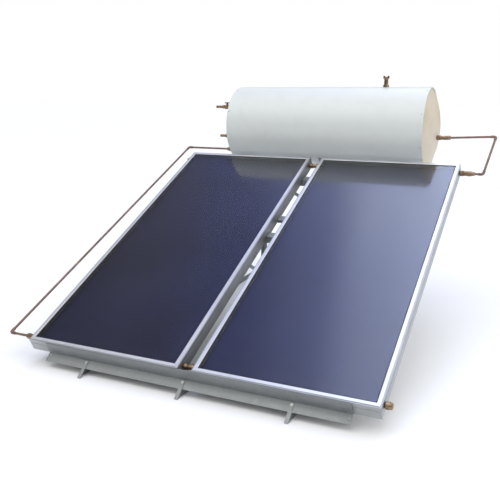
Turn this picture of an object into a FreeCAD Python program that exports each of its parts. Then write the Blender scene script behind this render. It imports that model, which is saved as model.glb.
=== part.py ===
"""Thermosyphon solar water heater: two tilted flat-plate collectors, a storage tank and its stand.

Millimetres, +Z up. The origin is on the ground under the middle of the whole heater. +X runs along the
tank, +Y from the low front edge of the collectors to the tank behind them.

Places on the collectors are given as (across, along, out): across is +X, along runs up the slope from
the collectors' low edge, and out is square to the glass, 0 on top of the glazing bead.
"""
import FreeCAD, Part
import math
import os
import Sketcher

Vector = FreeCAD.Vector
X_AXIS = Vector(1, 0, 0)
Y_AXIS = Vector(0, 1, 0)
Z_AXIS = Vector(0, 0, 1)

DIMENSIONS = {
    # the slope
    "tilt": 25,
    "foot_slope": 40,
    "front_edge_y": -1242.5,
    "front_edge_height": 147,
    # collectors
    "collector_width": 994,
    "collector_length": 2165,
    "collector_depth": 80,
    "collector_gap": 82,
    "collector_middle": 8,
    "casing_wall": 3,
    "casing_flange": 27,
    "casing_lip": 20,
    "ledge": 7,
    "bead_width": 20,
    "bead_thickness": 3,
    "glass_thickness": 4,
    "glass_inset": 15,
    "gasket_inset": 10,
    "absorber_inset": 30,
    "absorber_out": -29.5,
    "absorber_thickness": 1,
    "riser_radius": 5,
    "riser_out": -36,
    "riser_count": 8,
    "header_radius": 11,
    "header_bore": 10,
    "header_along": 55,
    "header_out": -42,
    "header_stub": 28,
    "grommet_radius": 14,
    "wool_thickness": 20,
    "sheet_thickness": 0.8,
    # stand
    "bar_wide": 40,
    "bar_wall": 4,
    "frame_left": -642,
    "frame_mid": 1,
    "frame_right": 613,
    "rail_out": -110.5,
    "rail_start": 100,
    "rail_end": 2150,
    "crossbar_length": 1900,
    "crossbar_wide": 45,
    "crossbar_deep": 30,
    "crossbar_low": 1240,
    "crossbar_high": 1938,
    "front_rail_length": 1810,
    "front_rail_wall": 3,
    "front_rail_flange": 53,
    "front_rail_seat": 30,
    "foot_flange": 20,
    "foot_strap": 3,
    "base_front": -1150,
    "leg_back": 1220,
    "bearer_height": 965,
    "bearer_front": 780,
    "bolt_radius": 4,
    "bolt_hole": 4.5,
    "anchor_radius": 6,
    "anchor_spacing": 2200,
    "anchor_middle": 30,
    # tank
    "tank_radius": 293,
    "tank_length": 1504,
    "tank_middle": 21,
    "tank_y": 1001,
    "tank_height": 1273.4,
    "jacket_wall": 1.5,
    "cap_wall": 3,
    "cap_inset": 9,
    "cap_rise": 72,
    "cap_skirt": 24,
    "inner_radius": 250,
    "inner_length": 1400,
    "inner_wall": 2.5,
    "inner_round": 110,
    "nipple_radius": 10.5,
    "nipple_hole": 11.2,
    "collar_radius": 18,
    # pipes
    "pipe_radius": 7.5,
    "pipe_bore": 6.5,
    "elbow_radius": 9.5,
    "pipe_bend": 15,
    "flow_reach": 1233.3,
    "return_reach": 1230.7,
    "cold_reach": 864,
    # valves
    "relief_x": 436,
    "valve_x": -798,
}

doc = FreeCAD.newDocument("SolarWaterHeater")
sheet = doc.addObject("Spreadsheet::Sheet", "Dimensions")
for row, (alias, size) in enumerate(DIMENSIONS.items(), start=1):
    sheet.set(f"A{row}", alias)
    sheet.set(f"B{row}", str(size))
    sheet.setAlias(f"B{row}", alias)
doc.recompute()

nodes = {}


class Measure:
    """A length or angle together with the sheet expression that it comes from."""

    def __init__(self, value, text):
        self.value = float(value)
        self.text = text

    def __add__(self, other):
        other = measure(other)
        return Measure(self.value + other.value, f"({self.text} + {other.text})")

    def __sub__(self, other):
        other = measure(other)
        return Measure(self.value - other.value, f"({self.text} - {other.text})")

    def __mul__(self, other):
        other = measure(other)
        return Measure(self.value * other.value, f"({self.text} * {other.text})")

    def __truediv__(self, other):
        other = measure(other)
        return Measure(self.value / other.value, f"({self.text} / {other.text})")

    def __neg__(self):
        return Measure(-self.value, f"(0 - {self.text})")

    __radd__ = __add__
    __rmul__ = __mul__

    def __rsub__(self, other):
        return measure(other) - self


def measure(value):
    if isinstance(value, Measure):
        return value
    return Measure(value, f"({float(value):.6f})")


def dim(alias):
    return Measure(DIMENSIONS[alias], f"Dimensions.{alias}")


def sine(angle):
    return Measure(math.sin(math.radians(angle.value)), f"sin({angle.text})")


def cosine(angle):
    return Measure(math.cos(math.radians(angle.value)), f"cos({angle.text})")


TILT = dim("tilt")


def on_slope(along, out):
    """The (y, z) of a place on the collectors."""
    along = measure(along)
    out = measure(out)
    y = dim("front_edge_y") + along * cosine(TILT) - out * sine(TILT)
    z = dim("front_edge_height") + along * sine(TILT) + out * cosine(TILT)
    return y, z


def bind(item, **sizes):
    for name, size in sizes.items():
        setattr(item, name, measure(size).value)
        item.setExpression(name, measure(size).text)
    return item


def place(item, base, axis=Z_AXIS, angle=0):
    """Puts an object at base, turned by angle about axis, with both bound to the sheet."""
    base = [measure(part) for part in base]
    angle = measure(angle)
    spin = FreeCAD.Rotation(axis, angle.value)
    item.Placement = FreeCAD.Placement(Vector(*[part.value for part in base]), spin)
    for letter, part in zip("xyz", base):
        item.setExpression(f"Placement.Base.{letter}", part.text)
    if angle.value:
        item.setExpression("Placement.Rotation.Angle", angle.text)
    return item


def place_on_slope(item, across, along, out, extra_turn=0):
    y, z = on_slope(along, out)
    return place(item, (across, y, z), X_AXIS, TILT + extra_turn)


def node(name, item):
    """Makes an object a finished sub-part under the given name."""
    item.Label = name
    nodes[name] = item
    return item


def group(name, items):
    """One sub-part made of several separate solids."""
    bundle = doc.addObject("Part::Compound", name)
    bundle.Links = items
    return node(name, bundle)


# ---------------------------------------------------------------- solids in the tree

def block(name, width, depth, height):
    box = doc.addObject("Part::Box", name)
    return bind(box, Length=width, Width=depth, Height=height)


def rod(name, radius, height):
    cylinder = doc.addObject("Part::Cylinder", name)
    return bind(cylinder, Radius=radius, Height=height)


def cut(name, base, tools):
    result = doc.addObject("Part::Cut", name)
    result.Base = base
    if len(tools) == 1:
        result.Tool = tools[0]
    else:
        bundle = doc.addObject("Part::Compound", name + "_tools")
        bundle.Links = tools
        result.Tool = bundle
    return result


def fuse(name, items):
    result = doc.addObject("Part::MultiFuse", name)
    result.Shapes = items
    return result


def outline(body, name, plane, corners):
    """A closed polygon sketch whose corners are bound to the sheet."""
    sketch = body.newObject("Sketcher::SketchObject", name)
    planes = {feature.Role: feature for feature in body.Origin.OriginFeatures}
    sketch.AttachmentSupport = [(planes[plane], "")]
    sketch.MapMode = "FlatFace"
    corners = [(measure(first), measure(second)) for first, second in corners]
    for index, start in enumerate(corners):
        end = corners[(index + 1) % len(corners)]
        first = Vector(start[0].value, start[1].value, 0)
        last = Vector(end[0].value, end[1].value, 0)
        sketch.addGeometry(Part.LineSegment(first, last), False)
    for index in range(len(corners)):
        following = (index + 1) % len(corners)
        sketch.addConstraint(Sketcher.Constraint("Coincident", index, 2, following, 1))
    for index, corner in enumerate(corners):
        for kind, size in zip(("DistanceX", "DistanceY"), corner):
            constraint = sketch.addConstraint(Sketcher.Constraint(kind, -1, 1, index, 1, size.value))
            title = f"corner{index}{kind[-1]}"
            sketch.renameConstraint(constraint, title)
            sketch.setExpression(f"Constraints.{title}", size.text)
    return sketch


def pad(name, plane, corners, length, reverse=False):
    """A polygon pushed out square to its plane: YZ goes to +X, XY to +Z, XZ to -Y, or back if reversed."""
    body = doc.addObject("PartDesign::Body", name)
    feature = body.newObject("PartDesign::Pad", name + "_pad")
    feature.Profile = outline(body, name + "_outline", plane, corners)
    feature.Reversed = reverse
    bind(feature, Length=length)
    return body


def turned(name, corners):
    """A polygon of (along, radius) turned about its own X axis."""
    body = doc.addObject("PartDesign::Body", name)
    sketch = outline(body, name + "_outline", "XY_Plane", corners)
    feature = body.newObject("PartDesign::Revolution", name + "_turn")
    feature.Profile = sketch
    feature.ReferenceAxis = (sketch, ["H_Axis"])
    feature.Angle = 360
    return body


def shape_part(name, shape):
    feature = doc.addObject("Part::Feature", name)
    feature.Shape = shape
    return feature


# ---------------------------------------------------------------- collectors

WIDTH = dim("collector_width")
LENGTH = dim("collector_length")
DEPTH = dim("collector_depth")
LEFT_EDGES = {
    "left": dim("collector_middle") - dim("collector_gap") / 2 - WIDTH,
    "right": dim("collector_middle") + dim("collector_gap") / 2,
}
HEADER_ALONGS = (dim("header_along"), LENGTH - dim("header_along"))
CLEAR = 0.2


def casing_section():
    """Casing extrusion, seen along its length: outer wall, top flange, glass seat and bottom lip."""
    wall = dim("casing_wall")
    flange = dim("casing_flange")
    top = -dim("bead_thickness") - CLEAR
    seat = top - dim("glass_thickness") - 1
    shelf = 2
    groove_top = -dim("collector_depth") * 0.36
    groove_deep = wall * 0.4
    return [
        (0, -DEPTH), (dim("casing_lip"), -DEPTH), (dim("casing_lip"), -DEPTH + shelf),
        (wall, -DEPTH + shelf), (wall, seat - shelf), (flange, seat - shelf), (flange, seat),
        (dim("gasket_inset") - 2, seat), (dim("gasket_inset") - 2, top), (0, top),
        (0, groove_top), (groove_deep, groove_top), (groove_deep, groove_top - 3),
        (0, groove_top - 3),
    ]


def bead_section():
    """Glazing bead seen along its length."""
    inner = dim("ledge") + dim("bead_width")
    return [
        (dim("ledge"), -dim("bead_thickness")), (inner, -dim("bead_thickness")),
        (inner, -1.2), (inner - 2, 0), (dim("ledge") + 1, 0), (dim("ledge"), -1),
    ]


def gasket_section():
    top = -dim("bead_thickness") - CLEAR
    seat = top - dim("glass_thickness") - 1 + CLEAR
    under = seat + 0.6
    inset = dim("glass_inset")
    outer = dim("gasket_inset")
    return [(outer, seat), (inset + 8, seat), (inset + 8, under), (inset - CLEAR, under),
            (inset - CLEAR, top), (outer, top)]


def mitred_bar(name, section, length, reach):
    """A bar along +X with 45 degree ends: the section's first value is its inset from the outer edge."""
    body = pad(name, "YZ_Plane", section, length)
    length = measure(length)
    reach = measure(reach)
    for end, corners in (("near", [(0, 0), (0, reach), (reach, reach)]),
                         ("far", [(length, 0), (length, reach), (length - reach, reach)])):
        pocket = body.newObject("PartDesign::Pocket", f"{name}_{end}_mitre")
        pocket.Profile = outline(body, f"{name}_{end}_triangle", "XY_Plane", corners)
        pocket.Type = "ThroughAll"
        pocket.Midplane = True
    return body


def slope_rotation(turn):
    """A quarter turn in the collector's plane, then the tilt."""
    lean = FreeCAD.Rotation(X_AXIS, TILT.value)
    return lean.multiply(FreeCAD.Rotation(Z_AXIS, turn))


def frame_of_bars(prefix, section, side, reach):
    """Four mitred bars round a collector: front, back, left and right."""
    edge = LEFT_EDGES[side]
    spots = {
        "front": (edge, 0, 0, WIDTH), "right": (edge + WIDTH, 0, 90, LENGTH),
        "back": (edge + WIDTH, LENGTH, 180, WIDTH), "left": (edge, LENGTH, 270, LENGTH),
    }
    bars = {}
    for spot, (across, along, turn, length) in spots.items():
        bar = mitred_bar(f"{prefix}_{spot}", section, length, reach)
        y, z = on_slope(along, 0)
        bar.Placement = FreeCAD.Placement(Vector(measure(across).value, y.value, z.value),
                                          slope_rotation(turn))
        for letter, part in zip("xyz", (measure(across), y, z)):
            bar.setExpression(f"Placement.Base.{letter}", part.text)
        bars[spot] = bar
    return bars


def slope_slab(name, side, inset, top, thickness):
    """A flat layer of a collector, inset from its edges."""
    slab = block(name, WIDTH - measure(inset) * 2, LENGTH - measure(inset) * 2, thickness)
    return place_on_slope(slab, LEFT_EDGES[side] + inset, inset, measure(top) - thickness)


def cross_hole(name, across, along, length, radius):
    """A cylinder along +X through a casing side."""
    y, z = on_slope(along, dim("header_out"))
    return place(rod(name, radius, length), (across, y, z), Y_AXIS, 90)


def cross_tube(name, across, along, length, outer, inner):
    skin = cross_hole(name + "_outside", across, along, length, outer)
    bore = cross_hole(name + "_bore", measure(across) - 1, along, measure(length) + 2, inner)
    return cut(name, skin, [bore])


def build_collector(side):
    edge = LEFT_EDGES[side]
    flange = dim("casing_flange")
    casing = frame_of_bars(f"{side}_casing", casing_section(), side, flange + 1)
    holes = [cross_hole(f"{side}_casing_hole{index}", edge - 5, along, WIDTH + 10, dim("grommet_radius"))
             for index, along in enumerate(HEADER_ALONGS)]
    sides = [cut(f"{side}_casing_{spot}_bored", casing[spot], holes) for spot in ("left", "right")]
    group(f"{side}_side_rails", sides)
    group(f"{side}_end_rails", [casing["front"], casing["back"]])
    beads = frame_of_bars(f"{side}_bead", bead_section(), side, flange + 1)
    group(f"{side}_glazing_bead", list(beads.values()))
    gaskets = frame_of_bars(f"{side}_gasket", gasket_section(), side, flange + 1)
    group(f"{side}_glass_gasket", list(gaskets.values()))

    glass_top = -dim("bead_thickness") - CLEAR
    node(f"{side}_glass", slope_slab(f"{side}_glass", side, dim("glass_inset"), glass_top,
                                     dim("glass_thickness")))
    node(f"{side}_absorber_plate",
         slope_slab(f"{side}_absorber_plate", side, dim("absorber_inset"), dim("absorber_out"),
                    dim("absorber_thickness")))
    layer_inset = dim("casing_wall") + 1
    sheet_top = -DEPTH + 2 + CLEAR + dim("sheet_thickness")
    node(f"{side}_back_sheet",
         slope_slab(f"{side}_back_sheet", side, layer_inset, sheet_top, dim("sheet_thickness")))
    wool_top = sheet_top + CLEAR + dim("wool_thickness")
    node(f"{side}_insulation",
         slope_slab(f"{side}_insulation", side, layer_inset, wool_top, dim("wool_thickness")))

    stub = dim("header_stub")
    headers = [cross_tube(f"{side}_header{index}", edge - stub, along, WIDTH + stub * 2,
                          dim("header_radius"), dim("header_bore"))
               for index, along in enumerate(HEADER_ALONGS)]
    group(f"{side}_headers", headers)

    start = dim("header_along") + dim("header_radius") + CLEAR
    risers = []
    count = DIMENSIONS["riser_count"]
    pitch = (WIDTH - dim("absorber_inset") * 2) / dim("riser_count")
    for index in range(count):
        across = edge + dim("absorber_inset") + pitch * (index + 0.5)
        skin = rod(f"{side}_riser{index}_outside", dim("riser_radius"), LENGTH - start * 2)
        bore = rod(f"{side}_riser{index}_bore", dim("riser_radius") - 0.7, LENGTH - start * 2)
        for item in (skin, bore):
            place_on_slope(item, across, start, dim("riser_out"), -90)
        risers.append(cut(f"{side}_riser{index}", skin, [bore]))
    group(f"{side}_riser_tubes", risers)


def build_grommets():
    rings = []
    thick = dim("casing_wall") + 3
    for side, edge in LEFT_EDGES.items():
        for end, across in (("a", edge - 1.5), ("b", edge + WIDTH - dim("casing_wall") - 1.5)):
            for index, along in enumerate(HEADER_ALONGS):
                rings.append(cross_tube(f"grommet_{side}_{end}{index}", across, along, thick,
                                        dim("grommet_radius") - 0.05, dim("header_radius") + 0.1))
    group("header_grommets", rings)


def fitting_on_header(name, across, along, profile):
    """A turned brass fitting whose axis lies on a header."""
    y, z = on_slope(along, dim("header_out"))
    return place(turned(name, profile), (across, y, z), X_AXIS, TILT)


def union_profile(length):
    """Union nut pair: collars at both ends and a slimmer waist, bored for the tube."""
    length = measure(length)
    bore = dim("header_radius") + 0.1
    big = dim("header_radius") + 7
    small = dim("header_radius") + 3
    nut = length * 0.36
    return [(0, bore), (0, big - 2), (2, big), (nut - 2, big), (nut, small), (length - nut, small),
            (length - nut + 2, big), (length - 2, big), (length, big - 2), (length, bore)]


def build_header_fittings():
    middle = dim("collector_middle")
    length = dim("collector_gap") - 14
    unions = [fitting_on_header(f"header_union{index}", middle - length / 2, along, union_profile(length))
              for index, along in enumerate(HEADER_ALONGS)]
    group("header_unions", unions)

    bore = dim("header_radius") + 0.1
    stub = dim("header_stub")
    cap = [(4, bore), (4, 17), (6, 19), (24, 19), (27, 17), (36, 15.5), (39, 12), (40, 0),
           (stub + 0.5, 0), (stub + 0.5, bore)]
    right_end = LEFT_EDGES["right"] + WIDTH
    node("lower_header_cap", fitting_on_header("lower_header_cap", right_end, HEADER_ALONGS[0], cap))
    mirrored = [(-measure(along), radius) for along, radius in cap]
    node("upper_header_cap",
         fitting_on_header("upper_header_cap", LEFT_EDGES["left"], HEADER_ALONGS[1], mirrored))


# ---------------------------------------------------------------- stand

WALL = dim("bar_wall")
BAR = dim("bar_wide")
FRAMES = (("left", dim("frame_left"), -1), ("mid", dim("frame_mid"), 1), ("right", dim("frame_right"), 1))
RAIL_OUT = dim("rail_out")


def spread(edge, side, offset, width):
    """Lowest X of a piece that lies offset to width away from a frame plane, on the given side."""
    return edge + offset if side > 0 else edge - offset - width


def angle_bar(name, edge, side, length, drop):
    """An angle bar along +Y: upright web beside the frame plane, flange on top (or below if drop < 0)."""
    flange_z = -WALL if drop > 0 else measure(0)
    web_z = -BAR if drop > 0 else measure(0)
    web = place(block(name + "_web", WALL, length, BAR), (spread(edge, side, 0, WALL), 0, web_z))
    flange = place(block(name + "_flange", BAR, length, WALL), (spread(edge, side, 0, BAR), 0, flange_z))
    return fuse(name, [web, flange])


def build_inclined_rails(drills):
    rails = []
    length = dim("rail_end") - dim("rail_start")
    for label, edge, side in FRAMES:
        rail = angle_bar(f"inclined_rail_{label}", edge, side, length, 1)
        y, z = on_slope(dim("rail_start"), RAIL_OUT)
        rails.append(place(rail, (0, y, z), X_AXIS, TILT))
    drilled_group("inclined_rails", rails, drills)


def build_base_rails(drills):
    rails = []
    length = dim("leg_back") - dim("base_front")
    for label, edge, side in FRAMES:
        rail = place(angle_bar(f"base_rail_{label}", edge, side, length, -1), (0, dim("base_front"), 0))
        holes = []
        for end in (-1, 1):
            y = dim("anchor_middle") + dim("anchor_spacing") * (end / 2)
            hole = rod(f"anchor_hole_{label}{end + 1}", dim("anchor_radius"), 20)
            holes.append(place(hole, (edge + side * 24, y, -5)))
        rails.append(cut(f"base_rail_{label}_drilled", rail, holes))
    drilled_group("base_rails", rails, drills)


def build_front_feet(drills):
    """Gusset feet: a strap from the front rail's bend over its flange to the ground, and a web under it."""
    feet = []
    slope = dim("foot_slope")
    wall = dim("front_rail_wall")
    strap = dim("foot_strap")
    bend_y, bend_z = on_slope(-(1 + wall), -DEPTH - CLEAR)

    def on_strap(down, up):
        """A point down the flange's upper face from the rail's bend, and up off that face."""
        along = bend_y - down * cosine(slope) - up * sine(slope)
        height = bend_z - down * sine(slope) + up * cosine(slope)
        return along, height

    def on_ground(up):
        """Where the plane that lies up off the flange's upper face meets the ground."""
        y, z = on_strap(0, up)
        return (y - z * cosine(slope) / sine(slope), 0)

    rail_end = dim("front_rail_flange") + 0.5
    below = -DEPTH - 4.5
    back_low = on_slope(160, RAIL_OUT - BAR)
    web = [on_ground(0), on_strap(rail_end, 0), on_strap(rail_end, -wall), on_strap(0, -wall),
           on_slope(12, below), on_slope(160, below), back_low, (back_low[0], 0)]
    cover = [on_ground(0), on_ground(strap), on_strap(4, strap), on_strap(4, 0)]
    for label, edge, side in FRAMES:
        plate = pad(f"foot_web_{label}", "YZ_Plane", web, WALL)
        place(plate, (spread(edge, -side, 0, WALL), 0, 0))
        shelf = pad(f"foot_flange_{label}", "YZ_Plane", cover, dim("foot_flange"))
        place(shelf, (spread(edge, -side, 0, dim("foot_flange")), 0, 0))
        feet.append(fuse(f"front_foot_{label}", [plate, shelf]))
    drilled_group("front_feet", feet, drills)


def build_rear_legs(drills):
    legs = []
    height = dim("bearer_height") - 8
    for label, edge, side in FRAMES:
        web = block(f"rear_leg_web_{label}", WALL, BAR, height)
        place(web, (spread(edge, -side, 0, WALL), dim("leg_back") - BAR, 0))
        flange = block(f"rear_leg_flange_{label}", BAR, WALL, height)
        place(flange, (spread(edge, -side, 0, BAR), dim("leg_back") - WALL, 0))
        legs.append(fuse(f"rear_leg_{label}", [web, flange]))
    drilled_group("rear_legs", legs, drills)


def build_tank_bearers(drills):
    bearers = []
    length = dim("leg_back") - dim("bearer_front")
    for label, edge, side in FRAMES:
        bearer = angle_bar(f"tank_bearer_{label}", edge, side, length, 1)
        bearers.append(place(bearer, (0, dim("bearer_front"), dim("bearer_height"))))
    drilled_group("tank_bearers", bearers, drills)


def build_gussets(drills):
    """Plates that join the top of each inclined rail to its tank bearer."""
    top = dim("bearer_height") - 6
    low = on_slope(dim("rail_end") - 130, RAIL_OUT - BAR)
    high = on_slope(dim("rail_end") - 130, RAIL_OUT - 6)
    corners = [low, high, (on_slope(dim("rail_end") - 40, RAIL_OUT - 6)[0], top),
               (dim("bearer_front") + 120, top), (dim("bearer_front") + 120, top - 30),
               (dim("bearer_front") + 20, top - 60)]
    plates = []
    for label, edge, side in FRAMES:
        plate = pad(f"gusset_{label}", "YZ_Plane", corners, WALL)
        plates.append(place(plate, (spread(edge, -side, 0, WALL), 0, 0)))
    drilled_group("gusset_plates", plates, drills)


def build_struts(drills):
    """Flat diagonal bars from each base rail up to the middle of its inclined rail."""
    low = (dim("leg_back") - BAR - 60, measure(22))
    high = on_slope(1300, RAIL_OUT - BAR / 2)
    run = math.hypot(high[0].value - low[0].value, high[1].value - low[1].value)
    half = 15
    over = 18
    step_y = (high[0] - low[0]) / run
    step_z = (high[1] - low[1]) / run
    corners = []
    for end, reach, side in ((low, -1, -1), (high, 1, -1), (high, 1, 1), (low, -1, 1)):
        y = end[0] + step_y * (over * reach) - step_z * (half * side)
        z = end[1] + step_z * (over * reach) + step_y * (half * side)
        corners.append((y, z))
    bars = []
    for label, edge, side in FRAMES:
        bar = pad(f"strut_{label}", "YZ_Plane", corners, WALL)
        bars.append(place(bar, (spread(edge, -side, 0, WALL), 0, 0)))
    drilled_group("diagonal_struts", bars, drills)


def build_rear_braces():
    """Two flat bars crossed behind the rear legs."""
    left = dim("frame_left") + 20
    right = dim("frame_right") - 20
    low = 100
    high = dim("bearer_height") - 90
    half = 16
    bars = []
    for index, (start, end) in enumerate((((left, low), (right, high)), ((left, high), (right, low)))):
        corners = [(start[0], measure(start[1]) - half), (end[0], measure(end[1]) - half),
                   (end[0], measure(end[1]) + half), (start[0], measure(start[1]) + half)]
        bar = pad(f"rear_brace{index}", "XZ_Plane", corners, 3, reverse=True)
        bars.append(place(bar, (0, dim("leg_back") + 3.2 * index, 0)))
    group("rear_braces", bars)


def build_crossbars():
    """Channels across the stand that carry the collectors."""
    wide = dim("crossbar_wide")
    deep = dim("crossbar_deep")
    top = -DEPTH - CLEAR
    section = [(0, top), (wide, top), (wide, top - 4), (4, top - 4), (4, top - deep + 4),
               (30, top - deep + 4), (30, top - deep), (0, top - deep)]
    bars = []
    for index, along in enumerate((dim("crossbar_low"), dim("crossbar_high"))):
        bar = pad(f"crossbar{index}", "YZ_Plane", section, dim("crossbar_length"))
        across = dim("collector_middle") - dim("crossbar_length") / 2
        bars.append(place_on_slope(bar, across, along, 0))
    group("crossbars", bars)


def build_front_rail():
    """Stop rail along the low edge: web against the casings, seat under them, flange leaning forward."""
    wall = dim("front_rail_wall")
    lean = dim("foot_slope") - TILT
    outer = -(1 + wall)
    bottom = -DEPTH - CLEAR
    run = dim("front_rail_flange")
    under = (outer + wall * sine(lean), bottom - wall * cosine(lean))
    reach = (cosine(lean) * run, sine(lean) * run)
    section = [
        (outer, -6), (outer + wall, -6), (outer + wall, bottom), (dim("front_rail_seat"), bottom),
        (dim("front_rail_seat"), bottom - wall), under,
        (under[0] - reach[0], under[1] - reach[1]), (outer - reach[0], bottom - reach[1]),
        (outer, bottom),
    ]
    rail = pad("front_rail_bar", "YZ_Plane", section, dim("front_rail_length"))
    place_on_slope(rail, -dim("front_rail_length") / 2, 0, 0)
    holes = []
    for side in (-1, 1):
        for step in (14, 38):
            along = outer - cosine(lean) * step
            out = bottom - sine(lean) * step + 10
            hole = rod(f"front_rail_hole{side + 1}_{step}", 4.5, 30)
            across = dim("front_rail_length") * (side / 2) - side * 14
            y, z = on_slope(along, out)
            holes.append(place(hole, (across, y, z), X_AXIS, dim("foot_slope") + 180))
    node("front_rail", cut("front_rail", rail, holes))


def build_collector_clamps():
    """Small bridge plates in the gap between the casings, each with its bolt."""
    clamps = []
    for index, along in enumerate((1262, 1455, 1960)):
        across = dim("collector_middle") - dim("collector_gap") / 2 + 2
        plate = block(f"clamp_plate{index}", dim("collector_gap") - 4, 50, 4)
        place_on_slope(plate, across, along - 25, -62)
        skirt = block(f"clamp_skirt{index}", dim("collector_gap") - 4, 4, 18)
        place_on_slope(skirt, across, along - 25, -62 - 18)
        stud = rod(f"clamp_stud{index}", 4, 20)
        place_on_slope(stud, dim("collector_middle"), along, -62 - 12)
        clamps.append(fuse(f"clamp{index}", [plate, skirt, stud]))
    group("collector_clamps", clamps)


def build_saddles():
    """Curved cradles that carry the tank on its bearers."""
    radius = dim("tank_radius") + 0.4
    thick = 4
    rib_reach = 190
    saddles = []
    for label, edge, side in FRAMES:
        middle = spread(edge, side, 4, 32) + 16
        tube_out = rod(f"saddle_outer_{label}", radius + thick, 60)
        tube_in = rod(f"saddle_inner_{label}", radius, 62)
        place(tube_out, (middle - 30, dim("tank_y"), dim("tank_height")), Y_AXIS, 90)
        place(tube_in, (middle - 31, dim("tank_y"), dim("tank_height")), Y_AXIS, 90)
        rib = block(f"saddle_rib_{label}", 6, rib_reach * 2, 140)
        place(rib, (middle - 3, dim("tank_y") - rib_reach, dim("bearer_height")))
        window = block(f"saddle_window_{label}", 70, rib_reach * 2, 140)
        place(window, (middle - 35, dim("tank_y") - rib_reach, dim("bearer_height")))
        sole = block(f"saddle_sole_{label}", 32, rib_reach * 2, 5)
        place(sole, (middle - 16, dim("tank_y") - rib_reach, dim("bearer_height")))
        ring = doc.addObject("Part::Common", f"saddle_ring_{label}")
        ring.Base = tube_out
        ring.Tool = window
        blank = fuse(f"saddle_blank_{label}", [ring, rib, sole])
        saddles.append(cut(f"saddle_{label}", blank, [tube_in]))
    group("tank_saddles", saddles)


def bolt_places():
    """Where bolts join the members of each side frame: (across, y, z, side)."""
    spots = []
    for label, edge, side in FRAMES:
        web = RAIL_OUT - BAR / 2
        for y, z in (on_slope(118, web), on_slope(146, web),
                     (dim("base_front") + 30, BAR / 2 + 2), (dim("base_front") + 90, BAR / 2 + 2),
                     (dim("leg_back") - 22, BAR / 2 + 2), (dim("leg_back") - BAR - 60, BAR / 2 + 2),
                     on_slope(1300, web), on_slope(dim("rail_end") - 110, web),
                     on_slope(dim("rail_end") - 70, web),
                     (dim("bearer_front") + 40, dim("bearer_height") - 24),
                     (dim("bearer_front") + 100, dim("bearer_height") - 24),
                     (dim("leg_back") - 22, dim("bearer_height") - 24)):
            spots.append((edge, y, z, side))
    return spots


def build_bolt_drills():
    """Clearance holes for the frame bolts, as one tool that every drilled member is cut with."""
    drills = []
    for index, (edge, y, z, side) in enumerate(bolt_places()):
        drill = rod(f"bolt_drill{index}", dim("bolt_hole"), 20)
        drills.append(place(drill, (edge - 10, y, z), Y_AXIS, 90))
    bundle = doc.addObject("Part::Compound", "bolt_drills")
    bundle.Links = drills
    return bundle


def drilled_group(name, bars, drills):
    """One sub-part of several bars, with its bolt holes."""
    bundle = doc.addObject("Part::Compound", name + "_bars")
    bundle.Links = bars
    return node(name, cut(name, bundle, [drills]))


def hex_bolt(edge, y, z, side):
    """Hexagon bolt and nut as one fastener, clamping the two webs that meet on a frame plane."""
    grip = 2 * DIMENSIONS["bar_wall"]
    across_corners = 8.5
    corners = [Vector(across_corners * math.cos(math.radians(60 * corner)),
                      across_corners * math.sin(math.radians(60 * corner)), 0) for corner in range(7)]
    hexagon = Part.Face(Part.makePolygon(corners))
    head = hexagon.extrude(Vector(0, 0, -5.5))
    nut = hexagon.extrude(Vector(0, 0, 6.5))
    nut.translate(Vector(0, 0, grip))
    shank = Part.makeCylinder(DIMENSIONS["bolt_radius"], grip + 9)
    bolt = head.fuse([shank, nut]).removeSplitter()
    start = Vector(edge.value - side * DIMENSIONS["bar_wall"], y.value, z.value)
    bolt.Placement = FreeCAD.Placement(start, FreeCAD.Rotation(Z_AXIS, Vector(side, 0, 0)))
    return bolt


def build_frame_bolts():
    bolts = [hex_bolt(*spot) for spot in bolt_places()]
    node("frame_bolts", shape_part("frame_bolts", Part.makeCompound(bolts)))


# ---------------------------------------------------------------- tank

AXIS_Y = dim("tank_y")
AXIS_Z = dim("tank_height")
TANK_LEFT = dim("tank_middle") - dim("tank_length") / 2
TANK_RIGHT = dim("tank_middle") + dim("tank_length") / 2
PORTS = {
    # name: (side, forward and upward offset of the port from the tank's axis)
    "flow": ("right", -48, -58),
    "return": ("left", -143, -188),
    "hot": ("left", -139, 142),
    "cold": ("left", -129, -85),
}


def number(alias):
    return DIMENSIONS[alias]


def along_tank(shape):
    """Moves a solid made round the X axis onto the tank's axis."""
    shape.translate(Vector(0, number("tank_y"), number("tank_height")))
    return shape


def port_drills(radius, sides=("left", "right")):
    """Cylinders through the tank's ends where its ports are."""
    drills = []
    for side, forward, up in PORTS.values():
        if side not in sides:
            continue
        outwards = -1 if side == "left" else 1
        start = number("tank_middle") + outwards * (number("inner_length") / 2 - number("inner_round") - 40)
        spot = Vector(start, number("tank_y") + forward, number("tank_height") + up)
        drills.append(Part.makeCylinder(radius, 400, spot, X_AXIS * outwards))
    return drills


def relief_drill(radius):
    spot = Vector(number("relief_x"), number("tank_y"), number("tank_height") + number("inner_radius") - 60)
    return Part.makeCylinder(radius, 200, spot, Z_AXIS)


def domed_cylinder(radius, length, rounding):
    """A closed cylinder along X, centred on the tank, with rounded ends."""
    start = number("tank_middle") - length / 2
    can = Part.makeCylinder(radius, length, Vector(start, 0, 0), X_AXIS)
    rims = [edge for edge in can.Edges if edge.Curve.TypeId == "Part::GeomCircle"]
    return along_tank(can.makeFillet(rounding, rims))


def tank_tube(outer, inner, start, length):
    skin = Part.makeCylinder(outer, length, Vector(start, 0, 0), X_AXIS)
    bore = Part.makeCylinder(inner, length, Vector(start, 0, 0), X_AXIS)
    return along_tank(skin.cut(bore))


def cap_ball():
    """The end caps' rim radius and the radius of the ball that their domes are cut from."""
    rim = number("tank_radius") - number("jacket_wall") - 0.2
    return rim, (rim ** 2 + number("cap_rise") ** 2) / (2 * number("cap_rise"))


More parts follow.
